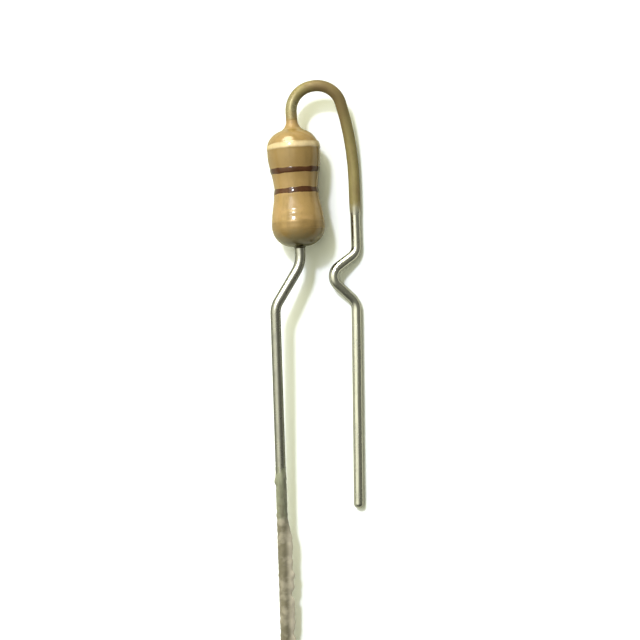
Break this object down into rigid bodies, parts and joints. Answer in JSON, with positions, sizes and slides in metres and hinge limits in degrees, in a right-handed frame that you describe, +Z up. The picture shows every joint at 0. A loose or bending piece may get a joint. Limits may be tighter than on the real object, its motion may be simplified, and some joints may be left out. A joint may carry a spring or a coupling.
{
  "type": "resistor",
  "caption": "Axial carbon-film resistor with a tan dog-bone body, colour bands and wire leads formed for upright mounting; it limits current in a circuit.",
  "frame": {"origin": "under the middle of the whole part, on the surface it lies on", "axes": "+Y from the long lead's tip to the hairpin, +Z up from the surface, +X towards the hairpin's outer leg"},
  "size_m": [0.0046, 0.0356, 0.0025],
  "materials": {
    "ceramic": "matte",
    "carbon": "matte",
    "plated_steel": "satin",
    "tan_lacquer": "glossy",
    "white_paint": "glossy",
    "brown_paint": "glossy",
    "gold_paint": "satin",
    "tinned_wire": "satin",
    "olive_lacquer": "glossy"
  },
  "bodies": {
    "root": {"ceramic_rod": "ceramic", "carbon_film": "carbon", "upper_end_cap": "plated_steel", "lower_end_cap": "plated_steel", "body_coating": "tan_lacquer", "white_band": "white_paint", "upper_brown_band": "brown_paint", "lower_brown_band": "brown_paint", "gold_band": "gold_paint", "upper_lead": "tinned_wire", "lower_lead": "tinned_wire", "lead_coating": "olive_lacquer"}
  },
  "joints": []
}
